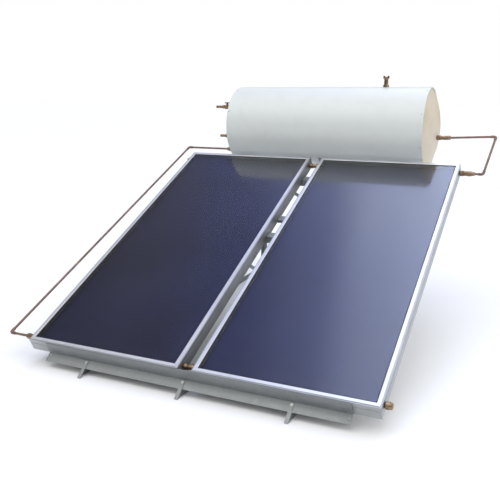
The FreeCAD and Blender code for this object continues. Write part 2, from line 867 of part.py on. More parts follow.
def cap_height(radius):
    """How far an end cap's dome stands out of the jacket's end, at a distance from the tank's axis."""
    ball = cap_ball()[1]
    return number("cap_rise") - number("cap_inset") - ball + math.sqrt(ball ** 2 - radius ** 2)


def end_cap(face, outwards):
    """A domed shell whose skirt slides into the jacket. Its rim lies in the plane x = face."""
    rim, ball = cap_ball()
    wall = number("cap_wall")
    middle = number("cap_rise") - ball

    def spot(along, radius):
        return Vector(face + outwards * along, 0, radius)

    def dome_arc(size, start_radius):
        half = math.asin(start_radius / size) / 2
        way = spot(middle + size * math.cos(half), size * math.sin(half))
        return Part.Arc(spot(0, start_radius), way, spot(middle + size, 0)).toShape()

    inner_rim = math.sqrt((ball - wall) ** 2 - middle ** 2)
    corners = [spot(0, inner_rim), spot(0, rim - wall), spot(-number("cap_skirt") - wall, rim - wall),
               spot(-number("cap_skirt") - wall, rim), spot(0, rim)]
    edges = [Part.LineSegment(first, last).toShape() for first, last in zip(corners, corners[1:])]
    tip = Part.LineSegment(spot(middle + ball, 0), spot(middle + ball - wall, 0)).toShape()
    edges += [dome_arc(ball, rim), tip, dome_arc(ball - wall, inner_rim)]
    face_shape = Part.Face(Part.Wire(Part.__sortEdges__(edges)))
    return along_tank(Part.makeSolid(face_shape.revolve(Vector(0, 0, 0), X_AXIS, 360)))


def build_tank_shell():
    jacket = tank_tube(number("tank_radius"), number("tank_radius") - number("jacket_wall"),
                       TANK_LEFT.value, number("tank_length"))
    node("tank_jacket", shape_part("tank_jacket", jacket.cut(relief_drill(12))))

    for side, end, outwards in (("left", TANK_LEFT.value, -1), ("right", TANK_RIGHT.value, 1)):
        cap = end_cap(end - outwards * number("cap_inset"), outwards)
        cap = cap.cut(port_drills(number("nipple_hole"), (side,)))
        node(f"tank_cap_{side}", shape_part(f"tank_cap_{side}", cap))


def build_inner_tank():
    radius = number("inner_radius")
    length = number("inner_length")
    rounding = number("inner_round")
    wall = number("inner_wall")
    outside = domed_cylinder(radius, length, rounding)
    inside = domed_cylinder(radius - wall, length - 2 * wall, rounding - wall)
    drills = port_drills(number("nipple_hole")) + [relief_drill(number("nipple_hole"))]
    heater_spot = Vector(number("tank_middle") + length / 2 - 30, number("tank_y") + 75,
                         number("tank_height") - 70)
    anode_spot = Vector(heater_spot.x, number("tank_y"), number("tank_height") + 110)
    drills.append(Part.makeCylinder(32, 100, heater_spot, X_AXIS))
    drills.append(Part.makeCylinder(13, 100, anode_spot, X_AXIS))
    shell = outside.cut(inside).cut(drills)
    node("inner_tank", shape_part("inner_tank", shell))

    jacket_inside = number("tank_radius") - number("jacket_wall") - 0.4
    foam_length = number("tank_length") - 2 * (number("cap_inset") + number("cap_wall")) - 0.6
    start = number("tank_middle") - foam_length / 2
    foam = along_tank(Part.makeCylinder(jacket_inside, foam_length, Vector(start, 0, 0), X_AXIS))
    skirt_room = tank_tube(jacket_inside + 1, jacket_inside - number("cap_wall") - 0.4, start - 1, 26)
    far_room = tank_tube(jacket_inside + 1, jacket_inside - number("cap_wall") - 0.4,
                         start + foam_length - 25, 26)
    hollow = domed_cylinder(radius + 0.2, length + 0.4, rounding)
    element_room = Part.makeCylinder(58, 60, Vector(start + foam_length - 59, heater_spot.y, heater_spot.z),
                                     X_AXIS)
    anode_room = Part.makeCylinder(22, 60, Vector(start + foam_length - 59, anode_spot.y, anode_spot.z),
                                   X_AXIS)
    foam = foam.cut([skirt_room, far_room, hollow, element_room, anode_room, relief_drill(12)])
    foam = foam.cut(port_drills(number("nipple_hole")))
    node("tank_foam", shape_part("tank_foam", foam))

    end = number("tank_middle") + length / 2
    plate = Part.makeCylinder(48, 6, Vector(end + 0.3, heater_spot.y, heater_spot.z), X_AXIS)
    plug = Part.makeCylinder(24, 26, Vector(end + 6, heater_spot.y, heater_spot.z), X_AXIS)
    seat = Part.makeCylinder(31, 14, Vector(end - 12, heater_spot.y, heater_spot.z), X_AXIS)
    loops = []
    for side in (-1, 1):
        start_point = Vector(end - 380, heater_spot.y + 14 * side, heater_spot.z)
        loops.append(Part.makeCylinder(4, 372, start_point, X_AXIS))
    bend = Part.makeTorus(14, 4, Vector(end - 380, heater_spot.y, heater_spot.z), Z_AXIS, -180, 180, 180)
    bend.rotate(Vector(end - 380, heater_spot.y, heater_spot.z), Z_AXIS, 90)
    element = plate.fuse([plug, seat, bend] + loops)
    node("immersion_heater", shape_part("immersion_heater", element))

    anode = Part.makeCylinder(11, 520, Vector(end - 520, anode_spot.y, anode_spot.z), X_AXIS)
    anode_head = Part.makeCylinder(17, 12, Vector(end + 0.3, anode_spot.y, anode_spot.z), X_AXIS)
    node("anode_rod", shape_part("anode_rod", anode.fuse(anode_head)))


# ---------------------------------------------------------------- pipes

def tube_along(start, end, outer, inner):
    direction = end - start
    skin = Part.makeCylinder(outer, direction.Length, start, direction)
    bore = Part.makeCylinder(inner, direction.Length, start, direction)
    return skin.cut(bore)


def elbow(before, corner, after, outer, inner, bend, socket):
    """A soldered elbow: a bend between two sockets."""
    into = (corner - before).normalize()
    away = (after - corner).normalize()
    half = math.acos(max(-1.0, min(1.0, into * away))) / 2
    tangent = bend * math.tan(half)
    first = corner - into * tangent
    last = corner + away * tangent
    inward = (away - into).normalize()
    middle = corner + inward * (bend / math.cos(half) - bend)
    arc = Part.Arc(first, middle, last).toShape()
    path = Part.Wire([Part.LineSegment(first - into * socket, first).toShape(), arc,
                      Part.LineSegment(last, last + away * socket).toShape()])
    solids = []
    for radius in (outer, inner):
        ring = Part.Wire(Part.makeCircle(radius, first - into * socket, into))
        solids.append(path.makePipeShell([ring], True, True))
    length = 2 * socket + bend * 2 * half
    expected = math.pi * outer ** 2 * length
    assert abs(solids[0].Volume - expected) < 0.02 * expected, "elbow volume is wrong"
    return solids[0].cut(solids[1]), first - into * (socket - 12), last + away * (socket - 12)


def build_pipe(name, points):
    """Copper tube through the given points, with an elbow at each inner point."""
    outer = number("pipe_radius")
    elbows = []
    tubes = []
    start = points[0]
    for before, corner, after in zip(points, points[1:], points[2:]):
        piece, stop, restart = elbow(before, corner, after, number("elbow_radius"), outer + 0.1,
                                     number("pipe_bend"), 18)
        elbows.append(piece)
        tubes.append(tube_along(start, stop, outer, number("pipe_bore")))
        start = restart
    tubes.append(tube_along(start, points[-1], outer, number("pipe_bore")))
    node(f"{name}_pipe", shape_part(f"{name}_pipe", Part.makeCompound(tubes)))
    node(f"{name}_elbows", shape_part(f"{name}_elbows", Part.makeCompound(elbows)))


def turned_along(profile, start, direction):
    """A solid of revolution of (along, radius) points, laid from start along direction."""
    points = [Vector(radius, 0, along) for along, radius in profile]
    points.append(points[0])
    face = Part.Face(Part.makePolygon(points))
    solid = face.revolve(Vector(0, 0, 0), Z_AXIS, 360)
    turn = FreeCAD.Rotation(Z_AXIS, direction)
    solid.Placement = FreeCAD.Placement(start, turn)
    return solid


def port_face(port):
    """X of the outermost point of the cap under a fitting's collar at a port."""
    side, forward, up = PORTS[port]
    height = cap_height(max(0, math.hypot(forward, up) - number("collar_radius")))
    return TANK_LEFT.value - height if side == "left" else TANK_RIGHT.value + height


def nipple(port, outside_length):
    """A threaded tube from inside the tank to outside its cap."""
    side, forward, up = PORTS[port]
    outwards = -1 if side == "left" else 1
    face = port_face(port)
    start = Vector(number("tank_middle") + outwards * (number("inner_length") / 2 - 60),
                   number("tank_y") + forward, number("tank_height") + up)
    end = Vector(face + outwards * outside_length, start.y, start.z)
    return tube_along(start, end, number("nipple_radius"), 7.5), end, X_AXIS * outwards


def nut_profile(length, bore, across):
    return [(0, bore), (0, across - 1.5), (1.5, across), (length - 1.5, across), (length, across - 1.5),
            (length, bore)]


def build_pipework():
    stub = number("header_stub")
    bore = number("pipe_radius") + 0.1

    flow_start = Vector(LEFT_EDGES["right"].value + number("collector_width") + stub,
                        *[part.value for part in on_slope(HEADER_ALONGS[1], dim("header_out"))])
    flow_tube, flow_nose, outwards = nipple("flow", 22)
    lift = 18
    flow_points = [flow_start + X_AXIS * 32, Vector(1195, flow_start.y, flow_start.z),
                   Vector(number("flow_reach"), flow_nose.y, flow_nose.z + lift), flow_nose + X_AXIS * 30]
    build_pipe("flow", flow_points)
    union = turned_along([(0, 11.1), (0, 17), (2, 18.5), (26, 18.5), (28, 16), (50, 16), (52, 17.5),
                          (72, 17.5), (74, 15), (96, 13), (96, bore), (30, bore), (30, 11.1)],
                         flow_start - X_AXIS * (stub - 3), X_AXIS)
    node("flow_union", shape_part("flow_union", union))
    slant = (flow_points[2] - flow_points[3]).normalize()
    nose = turned_along(nut_profile(48, bore, 15), flow_points[3] - slant * 6, slant)
    collar = turned_along([(0, number("nipple_radius") - 2), (0, 16), (4, 17), (24, 17), (30, 14), (48, 14),
                           (48, 8)], flow_nose - X_AXIS * 21, outwards)
    node("flow_tank_fitting", shape_part("flow_tank_fitting", flow_tube.fuse([collar, nose])))

    return_start = Vector(LEFT_EDGES["left"].value - stub,
                          *[part.value for part in on_slope(HEADER_ALONGS[0], dim("header_out"))])
    return_tube, return_nose, outwards = nipple("return", 22)
    return_corner = Vector(-number("return_reach"), return_start.y, return_start.z)
    return_points = [return_start - X_AXIS * 32, return_corner,
                     Vector(-1152, return_nose.y, return_nose.z), return_nose - X_AXIS * 10]
    build_pipe("return", return_points)
    union = turned_along([(0, 11.1), (0, 17), (2, 18), (24, 18), (26, 15), (44, 15), (46, 17), (60, 17),
                          (62, 14), (70, 13), (70, bore), (30, bore), (30, 11.1)],
                         return_start + X_AXIS * (stub - 3), -X_AXIS)
    node("return_union", shape_part("return_union", union))
    collar = turned_along([(0, number("nipple_radius") - 2), (0, 16), (2, 17), (26, 17), (28, 15), (40, 13),
                           (40, bore), (20, bore), (20, 7.5)], return_nose + X_AXIS * 21, outwards)
    node("return_tank_fitting", shape_part("return_tank_fitting", return_tube.fuse(collar)))

    cold_face = port_face("cold")
    cold_tube, cold_nose, outwards = nipple("cold", cold_face + number("cold_reach"))
    check = turned_along([(0, 9), (0, 14), (3, 16), (12, 16), (14, 13), (24, 13), (26, 15), (34, 15),
                          (36, 12), (36, 9)], Vector(cold_face - 1, cold_nose.y, cold_nose.z), outwards)
    node("cold_inlet", shape_part("cold_inlet", cold_tube.fuse(check)))


# ---------------------------------------------------------------- valves

def build_hot_valve():
    """Quarter-turn ball valve on the hot outlet: body with its stubs, ball with its stem, and handle."""
    tube, nose, outwards = nipple("hot", 8)
    centre = Vector(number("valve_x"), nose.y, nose.z)
    ball_radius = 12
    inlet = 28
    body = turned_along([(0, 7.5), (0, 13), (2, 15), (7, 15), (9, 18), (inlet + 11, 18), (inlet + 19, 15),
                         (inlet + 23, 14), (inlet + 37, 14), (inlet + 39, 10.5), (inlet + 94, 10.5),
                         (inlet + 94, 7.5)], centre - outwards * inlet, outwards)
    neck = Part.makeCylinder(8, 26, centre, Z_AXIS)
    cavity = Part.makeSphere(ball_radius + 0.35, centre)
    stem_hole = Part.makeCylinder(4.06, 40, centre, Z_AXIS)
    bore = Part.makeCylinder(7.5, 20, centre - X_AXIS * 10, X_AXIS)
    body = tube.fuse([body, neck]).cut([cavity, stem_hole, bore])
    node("hot_valve_body", shape_part("hot_valve_body", body))
    port = Part.makeCylinder(7.5, 40, centre - X_AXIS * 20, X_AXIS)
    ball = Part.makeSphere(ball_radius, centre).cut(port)
    stem = Part.makeCylinder(4, 34 - 9, centre + Z_AXIS * 9, Z_AXIS)
    node("hot_valve_ball", shape_part("hot_valve_ball", ball.fuse(stem)))
    hub = Part.makeCylinder(7.5, 9, centre + Z_AXIS * 26.4, Z_AXIS)
    wing = Part.makeBox(44, 5, 8, centre + Vector(-22, -2.5, 27.4))
    wing = wing.makeFillet(2, [edge for edge in wing.Edges if abs(edge.tangentAt(0).z) > 0.9])
    socket = Part.makeCylinder(4.03, 7.7, centre + Z_AXIS * 26.3, Z_AXIS)
    node("hot_valve_handle", shape_part("hot_valve_handle", hub.fuse(wing).cut(socket)))


def build_relief_valve():
    """Relief valve on the tank's top: body, spindle and winged test knob."""
    base = Vector(number("relief_x"), number("tank_y"), number("tank_height") + number("tank_radius"))
    tail = number("inner_radius") - number("tank_radius") - 15
    body = turned_along([(tail, 8), (tail, 10.5), (1, 10.5), (1, 19), (3, 21), (15, 21), (18, 15), (42, 15),
                         (45, 11), (54, 11), (54, 2.56), (38, 2.56), (38, 8)], base, Z_AXIS)
    spout = Part.makeCylinder(6, 12, base + Vector(0, -30, 30), Y_AXIS)
    boss = Part.makeCylinder(8.5, 8, base + Vector(0, -18, 30), Y_AXIS)
    spout_bore = Part.makeCylinder(4, 26, base + Vector(0, -31, 30), Y_AXIS)
    node("relief_valve_body", shape_part("relief_valve_body", body.fuse([boss, spout]).cut(spout_bore)))
    spindle = turned_along([(10, 0), (10, 7), (13, 7), (13, 2.5), (56.5, 2.5), (56.5, 0)], base, Z_AXIS)
    node("relief_valve_spindle", shape_part("relief_valve_spindle", spindle))
    knob = turned_along([(46, 11.06), (46, 15), (63, 15), (68, 11.5), (68, 0), (61, 0), (61, 3.4),
                         (54.6, 3.4), (54.6, 11.06)], base, Z_AXIS)
    wing = Part.makeBox(44, 6, 19, base + Vector(-22, -3, 62))
    wing = wing.cut(Part.makeBox(18, 8, 8, base + Vector(-9, -4, 73)))
    node("relief_valve_knob", shape_part("relief_valve_knob", knob.fuse(wing)))


# ---------------------------------------------------------------- assembly

def build_all():
    for side in LEFT_EDGES:
        build_collector(side)
    build_grommets()
    build_header_fittings()
    drills = build_bolt_drills()
    build_inclined_rails(drills)
    build_base_rails(drills)
    build_front_feet(drills)
    build_rear_legs(drills)
    build_tank_bearers(drills)
    build_gussets(drills)
    build_struts(drills)
    build_rear_braces()
    build_crossbars()
    build_front_rail()
    build_collector_clamps()
    build_saddles()
    build_tank_shell()
    build_inner_tank()
    build_pipework()
    build_hot_valve()
    build_relief_valve()
    build_frame_bolts()


def check_and_write():
    doc.recompute()
    for item in doc.Objects:
        bad = [word for word in ("Invalid", "Error") if word in item.State]
        assert not bad, f"{item.Name}: {item.State}"
    os.makedirs("parts", exist_ok=True)
    for name, item in nodes.items():
        shape = item.Shape
        assert not shape.isNull() and shape.isValid(), f"{name} has no valid shape"
        assert shape.Volume > 0, f"{name} has no volume"
        shape.exportStep(os.path.join("parts", name + ".step"))
    whole = FreeCAD.BoundBox()
    for item in nodes.values():
        whole.add(item.Shape.BoundBox)
    print(len(nodes), "sub-parts,", "box", whole)


build_all()
check_and_write()
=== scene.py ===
"""The looks of a thermosyphon solar water heater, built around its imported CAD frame.

Lengths are metres in the row frame. The collectors slope up towards +Y, and the tank lies behind them
along X.
"""

import math

import bmesh
import bpy
from mathutils import Euler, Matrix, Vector


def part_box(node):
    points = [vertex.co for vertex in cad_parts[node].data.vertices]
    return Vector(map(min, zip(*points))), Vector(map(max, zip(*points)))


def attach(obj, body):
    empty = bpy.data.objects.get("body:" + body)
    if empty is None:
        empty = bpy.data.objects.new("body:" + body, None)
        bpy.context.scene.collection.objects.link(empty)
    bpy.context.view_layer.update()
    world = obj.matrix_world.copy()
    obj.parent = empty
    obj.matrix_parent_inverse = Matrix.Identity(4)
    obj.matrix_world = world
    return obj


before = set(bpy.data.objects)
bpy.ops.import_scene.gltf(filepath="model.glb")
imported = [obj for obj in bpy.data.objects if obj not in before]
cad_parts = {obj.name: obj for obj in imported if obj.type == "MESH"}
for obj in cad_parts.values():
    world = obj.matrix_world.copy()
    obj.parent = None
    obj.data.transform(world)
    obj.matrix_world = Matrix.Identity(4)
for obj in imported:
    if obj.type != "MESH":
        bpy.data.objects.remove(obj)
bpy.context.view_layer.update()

TILT = math.radians(25)
ACROSS = Vector((1, 0, 0))
ALONG = Vector((0, math.cos(TILT), math.sin(TILT)))
OUT = Vector((0, -math.sin(TILT), math.cos(TILT)))
GLASS_THICKNESS = 0.004
BEAD_OVER_GLASS = 0.012
SIDES = ("left", "right")
MAIN_BODY = "heater"
SHARP_ANGLE = math.radians(35)


# ---------------------------------------------------------------- studio

def make_camera():
    """The camera stands at the front right, a little above the tank's axis."""
    data = bpy.data.cameras.new("camera")
    data.sensor_width = 36
    data.lens = 48.87
    camera = bpy.data.objects.new("camera", data)
    camera.location = (1.7028, -4.0546, 1.5544)
    camera.rotation_euler = Euler((math.radians(76.65), 0, math.radians(25.09)))
    bpy.context.scene.collection.objects.link(camera)
    bpy.context.scene.camera = camera


def ramp_node(tree, factor, stops):
    """A colour ramp from (position, grey or colour) stops, smooth between them."""
    node = tree.nodes.new("ShaderNodeValToRGB")
    node.color_ramp.interpolation = "EASE"
    elements = node.color_ramp.elements
    while len(elements) < len(stops):
        elements.new(0.5)
    for element, (position, colour) in zip(elements, stops):
        element.position = position
        shade = (colour,) * 3 if isinstance(colour, (int, float)) else colour
        element.color = (*shade, 1)
    tree.links.new(factor, node.inputs["Fac"])
    return node.outputs["Color"]


def make_world():
    """A white studio, bright overhead and dim low down, with a white backdrop that only the camera sees.

    The part of the ceiling that the glass mirrors is dark on the left and bright blue-white on the right.
    """
    world = bpy.data.worlds.new("studio")
    bpy.context.scene.world = world
    world.use_nodes = True
    tree = world.node_tree
    tree.nodes.clear()
    links = tree.links
    direction = tree.nodes.new("ShaderNodeTexCoord").outputs["Generated"]
    parts = tree.nodes.new("ShaderNodeSeparateXYZ")
    links.new(direction, parts.inputs[0])

    def unit_range(socket, low, high):
        node = tree.nodes.new("ShaderNodeMapRange")
        node.inputs["From Min"].default_value = low
        node.inputs["From Max"].default_value = high
        links.new(socket, node.inputs["Value"])
        return node.outputs["Result"]

    heights = unit_range(parts.outputs["Z"], -1, 1)
    room = ramp_node(tree, heights, [
        (0.00, 0.06),
        (0.50, 0.08),
        (0.58, 0.18),
        (0.72, 0.62),
        (0.86, 1.05),
        (1.00, 1.35),
    ])
    sideways = unit_range(parts.outputs["X"], -0.8, 0.2)
    ceiling = ramp_node(tree, sideways, [
        (0.10, (0.07, 0.07, 0.09)),
        (0.26, (0.18, 0.17, 0.22)),
        (0.38, (0.22, 0.24, 0.46)),
        (0.48, (0.52, 0.57, 0.98)),
        (0.56, (1.50, 1.67, 2.35)),
        (0.66, (2.15, 2.42, 3.25)),
        (0.82, (1.50, 1.60, 1.90)),
        (1.00, (1.00, 1.05, 1.15)),
    ])
    backward = unit_range(parts.outputs["Y"], 0.0, 0.15)
    upward = unit_range(parts.outputs["Z"], 0.50, 0.68)
    where = tree.nodes.new("ShaderNodeMath")
    where.operation = "MULTIPLY"
    links.new(backward, where.inputs[0])
    links.new(upward, where.inputs[1])
    joined = tree.nodes.new("ShaderNodeMix")
    joined.data_type = "RGBA"
    links.new(where.outputs[0], joined.inputs["Factor"])
    links.new(room, joined.inputs["A"])
    links.new(ceiling, joined.inputs["B"])

    light = tree.nodes.new("ShaderNodeBackground")
    light.inputs["Strength"].default_value = 1.18
    links.new(joined.outputs["Result"], light.inputs["Color"])
    backdrop = tree.nodes.new("ShaderNodeBackground")
    backdrop.inputs["Color"].default_value = (1, 1, 1, 1)
    seen = tree.nodes.new("ShaderNodeLightPath")
    either = tree.nodes.new("ShaderNodeMixShader")
    links.new(seen.outputs["Is Camera Ray"], either.inputs[0])
    links.new(light.outputs[0], either.inputs[1])
    links.new(backdrop.outputs[0], either.inputs[2])
    output = tree.nodes.new("ShaderNodeOutputWorld")
    links.new(either.outputs[0], output.inputs["Surface"])


def add_softbox(name, place, target, width, power):
    """A large soft area light at place that shines at target."""
    data = bpy.data.lights.new(name, "AREA")
    data.shape = "DISK"
    data.size = width
    data.energy = power
    light = bpy.data.objects.new(name, data)
    light.location = place
    light.rotation_euler = (Vector(target) - Vector(place)).to_track_quat("-Z", "Y").to_euler()
    bpy.context.scene.collection.objects.link(light)


def make_studio():
    bpy.context.scene.view_settings.view_transform = "Standard"
    make_camera()
    make_world()
    centre = (0, 0, 0.8)
    add_softbox("key_softbox", (-1.5, -2.5, 5.5), centre, 3.0, 16)
    add_softbox("right_softbox", (5.5, -1.0, 2.5), centre, 2.5, 48)
    floor_reach = 60
    floor_drop = 0.0005
    grid = bmesh.new()
    bmesh.ops.create_grid(grid, x_segments=1, y_segments=1, size=floor_reach)
    data = bpy.data.meshes.new("floor")
    grid.to_mesh(data)
    grid.free()
    floor = bpy.data.objects.new("floor", data)
    floor.location.z = -floor_drop
    floor.data.materials.append(floor_paint())
    bpy.context.scene.collection.objects.link(floor)


# ---------------------------------------------------------------- materials

class Finish:
    """One Principled material, with short ways to add the procedural nodes that drive it."""

    def __init__(self, name, **values):
        self.material = bpy.data.materials.new(name)
        self.material.use_nodes = True
        self.tree = self.material.node_tree
        self.shader = self.tree.nodes["Principled BSDF"]
        for key, value in values.items():
            socket = self.shader.inputs[key.replace("_", " ").title().replace("Ior", "IOR")]
            socket.default_value = (*value, 1) if isinstance(value, tuple) else value

    def add(self, kind, **settings):
        node = self.tree.nodes.new("ShaderNode" + kind)
        for key, value in settings.items():
            setattr(node, key, value)
        return node

    def link(self, source, target):
        self.tree.links.new(source, target)

    def place(self, scale=(1, 1, 1), turn=(0, 0, 0)):
        """Object coordinates, turned and then stretched by scale, in cells per metre."""
        source = self.add("TexCoord").outputs["Object"]
        turned = self.add("Mapping")
        turned.inputs["Rotation"].default_value = turn
        self.link(source, turned.inputs["Vector"])
        stretched = self.add("Mapping")
        stretched.inputs["Scale"].default_value = scale
        self.link(turned.outputs[0], stretched.inputs["Vector"])
        return stretched.outputs[0]

    def noise(self, vector, scale=1.0, detail=3.0, roughness=0.5, distortion=0.0):
        node = self.add("TexNoise")
        node.inputs["Scale"].default_value = scale
        node.inputs["Detail"].default_value = detail
        node.inputs["Roughness"].default_value = roughness
        node.inputs["Distortion"].default_value = distortion
        self.link(vector, node.inputs["Vector"])
        return node.outputs[0]

    def cells(self, vector, scale, output="Distance"):
        node = self.add("TexVoronoi")
        node.inputs["Scale"].default_value = scale
        self.link(vector, node.inputs["Vector"])
        return node.outputs[output]

    def ramp(self, factor, stops):
        return ramp_node(self.tree, factor, stops)

    def span(self, factor, low, high, start=0.0, end=1.0):
        """The factor's range start to end, mapped to low to high."""
        node = self.add("MapRange")
        for name, value in (("From Min", start), ("From Max", end), ("To Min", low), ("To Max", high)):
            node.inputs[name].default_value = value
        self.link(factor, node.inputs["Value"])
        return node.outputs["Result"]

    def blend(self, factor, first, second):
        """Mixes two colours, each a socket or a plain colour, by a socket or a plain number."""
        node = self.add("Mix", data_type="RGBA")
        for name, value in (("Factor", factor), ("A", first), ("B", second)):
            socket = next(s for s in node.inputs if s.name == name and s.enabled)
            if isinstance(value, bpy.types.NodeSocket):
                self.link(value, socket)
            else:
                socket.default_value = (*value, 1) if isinstance(value, tuple) else value
        return next(s for s in node.outputs if s.enabled)

    def colour(self, socket):
        self.link(socket, self.shader.inputs["Base Color"])

    def rough(self, factor, low, high, start=0.3, end=0.7):
        self.link(self.span(factor, low, high, start, end), self.shader.inputs["Roughness"])

    def bump(self, *layers):
        """Each layer is (height socket, distance in metres, strength), the coarsest first."""
        normal = None
        for height, distance, strength in layers:
            node = self.add("Bump")
            node.inputs["Distance"].default_value = distance
            node.inputs["Strength"].default_value = strength
            self.link(height, node.inputs["Height"])
            if normal is not None:
                self.link(normal, node.inputs["Normal"])
            normal = node.outputs[0]
        self.link(normal, self.shader.inputs["Normal"])


# turns object coordinates so that their Y runs up the collectors' slope
ALONG_SLOPE = (-TILT, 0, 0)


def floor_paint():
    finish = Finish("floor_paint", roughness=0.8)
    finish.colour(finish.ramp(finish.noise(finish.place(), 1.2), [(0.3, 0.96), (0.7, 0.975)]))
    return finish.material


def extruded_aluminium(name, dark, light, rough_low, rough_high, scale, turn):
    """Aluminium with fine die lines along it, faint handling marks and a slightly uneven anodised film."""
    finish = Finish(name, metallic=0.9, specular_ior_level=0.5)
    place = finish.place(scale, turn)
    lines = finish.noise(place, 1.0, 4, 0.6)
    film = finish.noise(finish.place(), 3.5, 4, 0.6, 0.4)
    base = finish.ramp(film, [(0.3, dark), (0.7, light)])
    finish.colour(finish.blend(finish.span(lines, 0.0, 0.30), base, tuple(0.72 * c for c in dark)))
    marks = finish.noise(finish.place(), 38, 6, 0.65)
    finish.rough(marks, rough_low, rough_high)
    finish.bump((finish.noise(finish.place(), 5, 2), 0.002, 0.05), (lines, 0.0003, 0.25))
    return finish.material


def casing_aluminium():
    dark, light = (0.40, 0.415, 0.425), (0.50, 0.515, 0.525)
    return extruded_aluminium("casing_aluminium", dark, light, 0.36, 0.50, (420, 6, 420), ALONG_SLOPE)


def bead_aluminium():
    dark, light = (0.70, 0.71, 0.745), (0.78, 0.79, 0.82)
    return extruded_aluminium("bead_aluminium", dark, light, 0.32, 0.44, (300, 5, 300), ALONG_SLOPE)


def back_sheet():
    """Stucco-embossed aluminium sheet."""
    finish = Finish("back_sheet", metallic=1.0)
    place = finish.place()
    film = finish.noise(place, 4, 4)
    finish.colour(finish.ramp(film, [(0.3, (0.52, 0.53, 0.54)), (0.7, (0.66, 0.67, 0.68))]))
    finish.rough(finish.noise(place, 30, 4), 0.34, 0.5)
    finish.bump((finish.cells(finish.place((1, 0.55, 1), ALONG_SLOPE), 160), 0.0012, 0.55))
    return finish.material


def mineral_wool():
    finish = Finish("mineral_wool", roughness=0.95, sheen_weight=0.25)
    fibres = finish.noise(finish.place((90, 340, 340)), 1.0, 8, 0.7, 1.2)
    finish.colour(finish.ramp(fibres, [
        (0.25, (0.20, 0.15, 0.07)),
        (0.55, (0.46, 0.38, 0.20)),
        (0.8, (0.62, 0.55, 0.34)),
    ]))
    finish.bump((fibres, 0.004, 0.8))
    return finish.material


def absorber_coating():
    """A sputtered selective coating: almost black, blue where it mirrors, with faint marks up the sheet."""
    finish = Finish("absorber_coating", metallic=0.85, specular_ior_level=0.6)
    drawn = finish.noise(finish.place((90, 1.2, 90), ALONG_SLOPE), 1.0, 4, 0.6)
    clouds = finish.noise(finish.place(), 1.3, 3, 0.5, 0.6)
    base = finish.ramp(clouds, [
        (0.3, (0.009, 0.011, 0.042)),
        (0.55, (0.015, 0.019, 0.070)),
        (0.75, (0.023, 0.027, 0.080)),
    ])
    finish.colour(finish.blend(finish.span(drawn, 0.0, 0.35), base, (0.010, 0.011, 0.028)))
    finish.rough(drawn, 0.40, 0.52)
    finish.bump((finish.noise(finish.place(), 3.0, 2), 0.003, 0.10))
    return finish.material


def solar_glass():
    """Low-iron toughened glass with a faint roller wave and a prismatic underside's soft blur."""
    finish = Finish("solar_glass", base_color=(0.93, 0.96, 0.97), transmission_weight=1.0, ior=1.5)
    place = finish.place((1, 0.35, 1), ALONG_SLOPE)
    finish.rough(finish.noise(finish.place(), 2.2, 5), 0.07, 0.12)
    finish.bump((finish.noise(place, 9, 2), 0.0006, 0.03))
    return finish.material


def black_rubber():
    finish = Finish("black_rubber", roughness=0.6, sheen_weight=0.1)
    place = finish.place()
    finish.colour(finish.ramp(finish.noise(place, 60, 5), [(0.3, 0.012), (0.7, 0.030)]))
    finish.rough(finish.noise(place, 120, 3), 0.55, 0.75)
    finish.bump((finish.noise(place, 500, 4), 0.0003, 0.3))
    return finish.material


def aged_copper():
    """Bare copper pipe browned by weather, brighter where it is rubbed."""
    finish = Finish("copper", metallic=0.9)
    place = finish.place()
    patina = finish.noise(place, 16, 7, 0.68, 0.7)
    spots = finish.noise(place, 90, 5, 0.6)
    base = finish.ramp(patina, [
        (0.28, (0.13, 0.088, 0.070)),
        (0.50, (0.24, 0.160, 0.125)),
        (0.72, (0.40, 0.270, 0.205)),
    ])
    finish.colour(finish.blend(finish.span(spots, 0.0, 0.5, 0.45, 0.75), base, (0.13, 0.085, 0.065)))
    finish.rough(patina, 0.50, 0.36)
    finish.bump((patina, 0.0006, 0.10), (spots, 0.0002, 0.25))
    return finish.material


def brass():
    """Forged and turned brass, a little tarnished."""
    finish = Finish("brass", metallic=1.0)
    place = finish.place()
    tarnish = finish.noise(place, 42, 6, 0.65, 0.5)
    turned = finish.noise(finish.place((900, 25, 25)), 1.0, 3)
    base = finish.ramp(tarnish, [
        (0.30, (0.13, 0.085, 0.052)),
        (0.50, (0.27, 0.185, 0.115)),
        (0.70, (0.44, 0.325, 0.215)),
    ])
    finish.colour(base)
    finish.rough(tarnish, 0.42, 0.24)
    finish.bump((tarnish, 0.0004, 0.12), (turned, 0.00015, 0.2))
    return finish.material


def galvanised_steel():
    """Hot-dip galvanised steel: zinc spangle of many sizes, dull grey runs and a few pale bloom patches."""
    finish = Finish("galvanised_steel", metallic=0.75, specular_ior_level=0.4)
    place = finish.place()
    big = finish.cells(place, 85, "Color")
    small = finish.cells(place, 210, "Color")
    spangle = finish.blend(0.35, big, small)
    grey = finish.add("RGBToBW")
    finish.link(spangle, grey.inputs[0])
    tone = grey.outputs[0]
    base = finish.ramp(tone, [
        (0.25, (0.255, 0.266, 0.270)),
        (0.5, (0.285, 0.297, 0.300)),
        (0.78, (0.325, 0.338, 0.340)),
    ])
    bloom = finish.noise(place, 4.5, 6, 0.62, 0.8)
    finish.colour(finish.blend(finish.span(bloom, 0.0, 0.45, 0.45, 0.8), base, (0.345, 0.357, 0.356)))
    finish.rough(tone, 0.38, 0.62)
    finish.bump((finish.noise(place, 14, 4), 0.0012, 0.15), (tone, 0.00012, 0.25))
    return finish.material


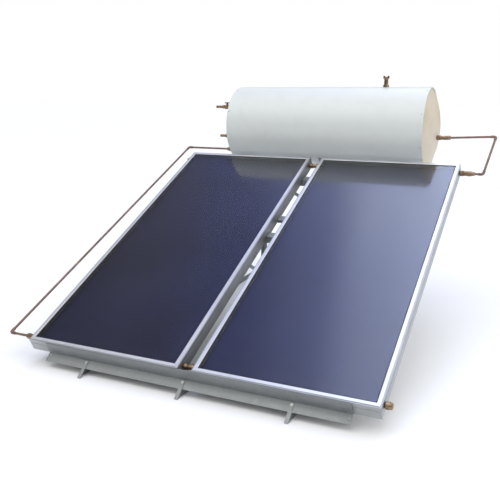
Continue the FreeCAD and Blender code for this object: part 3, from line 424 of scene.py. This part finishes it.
def zinc_fastener():
    finish = Finish("zinc_fastener", metallic=1.0)
    place = finish.place()
    film = finish.noise(place, 70, 5, 0.6)
    finish.colour(finish.ramp(film, [
        (0.3, (0.42, 0.42, 0.40)),
        (0.55, (0.58, 0.58, 0.56)),
        (0.75, (0.66, 0.62, 0.50)),
    ]))
    finish.rough(film, 0.28, 0.46)
    finish.bump((finish.noise(place, 420, 3), 0.0002, 0.2))
    return finish.material


def white_paint():
    """Oven-baked satin white on rolled sheet: orange peel, a faint oil-can wave and a trace of dust."""
    finish = Finish("white_paint", coat_weight=0.25, coat_roughness=0.28, specular_ior_level=0.5)
    place = finish.place()
    wave = finish.noise(finish.place((1.0, 3.2, 3.2)), 1.0, 2)
    dust = finish.noise(place, 7, 7, 0.62, 0.3)
    finish.colour(finish.ramp(dust, [
        (0.25, (0.725, 0.76, 0.74)),
        (0.55, (0.755, 0.79, 0.77)),
        (0.8, (0.775, 0.805, 0.785)),
    ]))
    finish.rough(dust, 0.34, 0.46)
    finish.bump((wave, 0.006, 0.10), (finish.noise(place, 380, 3), 0.0002, 0.12))
    return finish.material


def cap_plastic():
    """Moulded end cap in warm off-white, with the fine grain of its mould and slight yellowing."""
    finish = Finish("cap_plastic", specular_ior_level=0.45)
    place = finish.place()
    aged = finish.noise(place, 5, 6, 0.6, 0.3)
    finish.colour(finish.ramp(aged, [
        (0.28, (0.60, 0.53, 0.41)),
        (0.55, (0.68, 0.605, 0.48)),
        (0.78, (0.73, 0.66, 0.54)),
    ]))
    finish.rough(aged, 0.42, 0.55)
    finish.bump((finish.noise(place, 3, 2), 0.004, 0.08), (finish.noise(place, 650, 3), 0.00015, 0.2))
    return finish.material


def tank_enamel():
    finish = Finish("tank_enamel", coat_weight=0.5, coat_roughness=0.1, specular_ior_level=0.5)
    place = finish.place()
    flow = finish.noise(place, 9, 6, 0.6, 0.5)
    finish.colour(finish.ramp(flow, [(0.3, (0.010, 0.035, 0.085)), (0.7, (0.018, 0.060, 0.140))]))
    finish.rough(flow, 0.18, 0.32)
    finish.bump((flow, 0.0012, 0.2), (finish.noise(place, 240, 3), 0.0002, 0.2))
    return finish.material


def foam():
    finish = Finish("foam", roughness=0.9, subsurface_weight=0.1)
    place = finish.place()
    bubbles = finish.cells(place, 420)
    tone = finish.noise(place, 12, 5)
    finish.colour(finish.ramp(tone, [(0.3, (0.70, 0.58, 0.30)), (0.7, (0.84, 0.75, 0.48))]))
    finish.bump((bubbles, 0.0015, 0.6))
    return finish.material


def heater_metal():
    """The heating element's nickel-plated sheath, straw and blue where it has been hot."""
    finish = Finish("heater_metal", metallic=1.0)
    place = finish.place()
    heat = finish.noise(place, 14, 4, 0.5, 0.8)
    finish.colour(finish.ramp(heat, [
        (0.3, (0.42, 0.41, 0.40)),
        (0.55, (0.50, 0.42, 0.30)),
        (0.75, (0.30, 0.32, 0.42)),
    ]))
    finish.rough(heat, 0.25, 0.4)
    finish.bump((finish.noise(place, 300, 3), 0.0002, 0.2))
    return finish.material


def anode_metal():
    finish = Finish("anode_metal", metallic=0.8)
    place = finish.place()
    pits = finish.noise(place, 120, 7, 0.7)
    finish.colour(finish.ramp(pits, [(0.3, (0.26, 0.26, 0.25)), (0.7, (0.56, 0.56, 0.54))]))
    finish.rough(pits, 0.7, 0.5)
    finish.bump((pits, 0.001, 0.6))
    return finish.material


def valve_chrome():
    finish = Finish("valve_chrome", metallic=1.0)
    place = finish.place()
    film = finish.noise(place, 60, 5)
    finish.colour(finish.ramp(film, [(0.3, (0.62, 0.63, 0.64)), (0.7, (0.74, 0.75, 0.76))]))
    finish.rough(film, 0.08, 0.18)
    finish.bump((finish.noise(place, 700, 2), 0.0001, 0.1))
    return finish.material


def handle_metal():
    """The quarter-turn lever: pressed steel dipped in dark vinyl."""
    finish = Finish("handle_metal", metallic=0.1, specular_ior_level=0.5)
    place = finish.place()
    wear = finish.noise(place, 90, 6, 0.65)
    finish.colour(finish.ramp(wear, [
        (0.3, (0.030, 0.026, 0.026)),
        (0.65, (0.050, 0.043, 0.042)),
        (0.8, (0.11, 0.10, 0.095)),
    ]))
    finish.rough(wear, 0.5, 0.35)
    finish.bump((finish.noise(place, 500, 3), 0.0002, 0.25))
    return finish.material


FINISH_MAKERS = (
    casing_aluminium, bead_aluminium, back_sheet, mineral_wool, absorber_coating, solar_glass, black_rubber,
    brass, galvanised_steel, zinc_fastener, white_paint, cap_plastic, tank_enamel, foam, heater_metal,
    anode_metal, valve_chrome, handle_metal,
)


def make_finishes():
    finishes = {maker.__name__: maker() for maker in FINISH_MAKERS}
    finishes["copper"] = aged_copper()
    return finishes


def dress_cad_nodes(finishes):
    """Every carried-over node takes the finish named by its material slot."""
    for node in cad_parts.values():
        for material_slot in node.material_slots:
            material_slot.material = finishes[material_slot.material.name.split(".")[0]]


# ---------------------------------------------------------------- mesh helpers

def finish_piece(name, mesh, finishes, slot):
    """Makes an object of a bmesh, dresses it in its slot's finish, and lets it ride on the main body."""
    bmesh.ops.recalc_face_normals(mesh, faces=mesh.faces)
    data = bpy.data.meshes.new(name)
    mesh.to_mesh(data)
    mesh.free()
    for face in data.polygons:
        face.use_smooth = True
    data.set_sharp_from_angle(angle=SHARP_ANGLE)
    data.materials.append(finishes[slot])
    piece = bpy.data.objects.new(name, data)
    bpy.context.scene.collection.objects.link(piece)
    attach(piece, MAIN_BODY)


def join_rings(mesh, rings, close_path=False):
    """Faces between neighbouring rings of vertices, and from the last to the first if close_path."""
    count = len(rings[0])
    pairs = list(zip(rings, rings[1:]))
    if close_path:
        pairs.append((rings[-1], rings[0]))
    for first, second in pairs:
        for i in range(count):
            j = (i + 1) % count
            mesh.faces.new((first[i], first[j], second[j], second[i]))


def revolve(mesh, profile, centre, axis, steps=24, closed=False):
    """Turns a profile of (radius, height) points about axis through centre.

    An open profile starts and ends at radius 0, where least_radius keeps its rings' points apart.
    """
    least_radius = 1e-6
    axis = Vector(axis).normalized()
    side = axis.orthogonal().normalized()
    other = axis.cross(side)
    rings = []
    for radius, height in profile:
        base = Vector(centre) + axis * height
        turns = [2 * math.pi * i / steps for i in range(steps)]
        spokes = [side * math.cos(turn) + other * math.sin(turn) for turn in turns]
        rings.append([mesh.verts.new(base + spoke * max(radius, least_radius)) for spoke in spokes])
    join_rings(mesh, rings, close_path=closed)
    if not closed:
        mesh.faces.new(rings[0][::-1])
        mesh.faces.new(rings[-1])


def arc(centre, radius, start, end, count):
    """Points of (x, y) along an arc between two angles in degrees."""
    angles = (math.radians(start + (end - start) * i / (count - 1)) for i in range(count))
    return [(centre[0] + radius * math.cos(a), centre[1] + radius * math.sin(a)) for a in angles]


def sweep_straight(mesh, profile, start, end, side, up):
    """A bar from start to end whose closed profile's points are (along side, along up)."""
    rings = [[mesh.verts.new(Vector(p) + side * u + up * v) for u, v in profile] for p in (start, end)]
    join_rings(mesh, rings)
    mesh.faces.new(rings[0][::-1])
    mesh.faces.new(rings[1])


def mitred_frame(mesh, corner_at, profile):
    """A closed frame of four mitred sides. corner_at(i, inset, out) puts a profile point at corner i."""
    rings = [[mesh.verts.new(corner_at(i, u, v)) for u, v in profile] for i in range(4)]
    join_rings(mesh, rings, close_path=True)


# ---------------------------------------------------------------- collector details

class Pane:
    """A collector's glass: its low left upper corner, its width and its length up the slope."""

    def __init__(self, side):
        low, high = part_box(side + "_glass")
        self.corner = Vector((low.x, low.y, low.z + GLASS_THICKNESS * math.cos(TILT)))
        self.width = high.x - low.x
        self.length = (high.y - low.y - GLASS_THICKNESS * math.sin(TILT)) / math.cos(TILT)

    def point(self, across, along, out):
        return self.corner + ACROSS * across + ALONG * along + OUT * out

    def frame_corner(self, number, inset, out):
        across = inset if number in (0, 3) else self.width - inset
        along = inset if number in (0, 1) else self.length - inset
        return self.point(across, along, out)


def make_glass_seals(finishes):
    """The line of black sealant between each glazing bead and its glass."""
    width = 0.0045
    height = 0.0022
    for side in SIDES:
        pane = Pane(side)
        mesh = bmesh.new()
        curve = arc((0, 0), 1, 0, 90, 6)
        profile = [(BEAD_OVER_GLASS + width * u, height * v) for u, v in curve] + [(BEAD_OVER_GLASS, 0)]
        mitred_frame(mesh, pane.frame_corner, profile)
        finish_piece(side + "_glass_seal", mesh, finishes, "black_rubber")


def make_absorber_seams(finishes):
    """Two laser-welded seams on the absorber over each riser tube."""
    seam_half_width = 0.0016
    seam_height = 0.0005
    seam_offset = 0.004
    riser_count = 8
    end_gap = 0.05
    riser_radius = 0.005
    thickness = 0.0005
    for side in SIDES:
        low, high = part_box(side + "_absorber_plate")
        riser_low, riser_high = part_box(side + "_riser_tubes")
        surface_z = low.z + thickness * math.cos(TILT)
        length = (high.y - low.y) / math.cos(TILT)
        mesh = bmesh.new()
        profile = [(seam_half_width * u, seam_height * v) for u, v in arc((0, 0), 1, 0, 180, 7)]
        for i in range(riser_count):
            first, last = riser_low.x + riser_radius, riser_high.x - riser_radius
            centre = first + (last - first) * i / (riser_count - 1)
            for offset in (-seam_offset, seam_offset):
                foot = Vector((centre + offset, low.y, surface_z))
                start = foot + ALONG * end_gap
                end = foot + ALONG * (length - end_gap)
                sweep_straight(mesh, profile, start, end, ACROSS, OUT)
        finish_piece(side + "_absorber_seams", mesh, finishes, "absorber_coating")


# a domed head with the dimple that its mandrel leaves, as (radius, height)
RIVET_PROFILE = [(0.0, 0.0), (0.0048, 0.0), (0.0048, 0.0004), (0.0041, 0.0013), (0.0028, 0.0018),
                 (0.0016, 0.0019), (0.0014, 0.0015), (0.0, 0.0014)]


def make_casing_rivets(finishes):
    """Blind rivets in a row along the outer face of every side rail."""
    corner_gap = 0.045
    spans = 4
    depth = 0.055
    for side in SIDES:
        low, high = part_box(side + "_side_rails")
        pane = Pane(side)
        mesh = bmesh.new()
        for x, direction in ((low.x, -1), (high.x, 1)):
            for i in range(spans + 1):
                along = corner_gap + (pane.length - 2 * corner_gap) * i / spans
                spot = pane.point(0, along, -depth)
                revolve(mesh, RIVET_PROFILE, (x, spot.y, spot.z), (direction, 0, 0), 16)
        finish_piece(side + "_casing_rivets", mesh, finishes, "zinc_fastener")


# ---------------------------------------------------------------- tank details

class Tank:
    """The jacket's axis, radius and ends."""

    def __init__(self):
        low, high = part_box("tank_jacket")
        self.left, self.right = low.x, high.x
        self.radius = (high.z - low.z) / 2
        self.y, self.z = (low.y + high.y) / 2, (low.z + high.z) / 2

    def surface(self, x, angle, radius):
        """A point at an angle in degrees from the top, turning towards the back."""
        a = math.radians(angle)
        return Vector((x, self.y + radius * math.sin(a), self.z + radius * math.cos(a)))


def make_tank_hems(finishes):
    """The jacket's rolled edges at both ends."""
    tank = Tank()
    roll = 0.0030
    inset = 0.0001
    steps = 10
    last_angle = 360 * (steps - 1) / steps
    mesh = bmesh.new()
    for x, direction in ((tank.left, 1), (tank.right, -1)):
        profile = [(tank.radius - roll - inset + u, v) for u, v in arc((0, roll), roll, 0, last_angle, steps)]
        revolve(mesh, profile, (x, tank.y, tank.z), (direction, 0, 0), 96, closed=True)
    finish_piece("tank_hems", mesh, finishes, "white_paint")


def make_tank_seam(finishes):
    """The folded lock seam that closes the jacket, along its top just behind the relief valve."""
    tank = Tank()
    angle = 5
    half_width = 0.006
    height = 0.0022
    sunk = -0.001
    end_gap = 0.012
    mesh = bmesh.new()
    outward = tank.surface(0, angle, 1) - tank.surface(0, angle, 0)
    round_it = ACROSS.cross(outward)
    profile = [(-half_width, sunk), (half_width, sunk), (half_width, height * 0.6),
               (half_width * 0.7, height), (-half_width * 0.6, height), (-half_width, height * 0.3)]
    start = tank.surface(tank.left + end_gap, angle, tank.radius)
    end = tank.surface(tank.right - end_gap, angle, tank.radius)
    sweep_straight(mesh, profile, start, end, round_it, outward)
    finish_piece("tank_lock_seam", mesh, finishes, "white_paint")


# a pan head with a round recess, as (radius, height)
SCREW_PROFILE = [(0.0, 0.0), (0.0046, 0.0), (0.0046, 0.0006), (0.0042, 0.0018), (0.0030, 0.0026),
                 (0.0014, 0.0029), (0.0012, 0.0016), (0.0, 0.0016)]


def make_cap_screws(finishes):
    """Small screws through the jacket's ends into the skirts of the end caps."""
    tank = Tank()
    count = 8
    edge_gap = 0.013
    mesh = bmesh.new()
    for x in (tank.left + edge_gap, tank.right - edge_gap):
        for i in range(count):
            angle = 360 * (i + 0.5) / count
            foot = tank.surface(x, angle, tank.radius)
            revolve(mesh, SCREW_PROFILE, foot, foot - tank.surface(x, angle, 0), 14)
    finish_piece("cap_screws", mesh, finishes, "zinc_fastener")


# ---------------------------------------------------------------- stand details

def strap_middles():
    """X of the middle of each front foot's strap, from the straps' tips on the ground."""
    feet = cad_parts["front_feet"]
    points = [feet.matrix_world @ vertex.co for vertex in feet.data.vertices]
    front = min(point.y for point in points)
    same_place = 0.001
    tips = sorted(point.x for point in points if point.y < front + same_place)
    strap_width = 0.020
    starts = [x for i, x in enumerate(tips) if i == 0 or x - tips[i - 1] > 2 * strap_width]
    return [x + strap_width / 2 for x in starts]


def make_foot_screws(finishes):
    """A hexagon screw on a washer through each front foot's strap into the front rail's flange."""
    strap_slope = math.radians(40)
    up_strap = 0.100
    washer = [(0.0, -0.0005), (0.0082, -0.0005), (0.0082, 0.0012), (0.0, 0.0012)]
    head = [(0.0, 0.0008), (0.0064, 0.0008), (0.0064, 0.0046), (0.0056, 0.0054), (0.0, 0.0054)]
    ground_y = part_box("front_feet")[0].y
    mesh = bmesh.new()
    for x in strap_middles():
        spot = (x, ground_y + up_strap * math.cos(strap_slope), up_strap * math.sin(strap_slope))
        outward = (0, -math.sin(strap_slope), math.cos(strap_slope))
        revolve(mesh, washer, spot, outward, 24)
        revolve(mesh, head, spot, outward, 6)
    finish_piece("foot_screws", mesh, finishes, "zinc_fastener")


# ---------------------------------------------------------------- assembly

def make_details(finishes):
    make_glass_seals(finishes)
    make_absorber_seams(finishes)
    make_casing_rivets(finishes)
    make_tank_hems(finishes)
    make_tank_seam(finishes)
    make_cap_screws(finishes)
    make_foot_screws(finishes)


make_studio()
all_finishes = make_finishes()
dress_cad_nodes(all_finishes)
make_details(all_finishes)
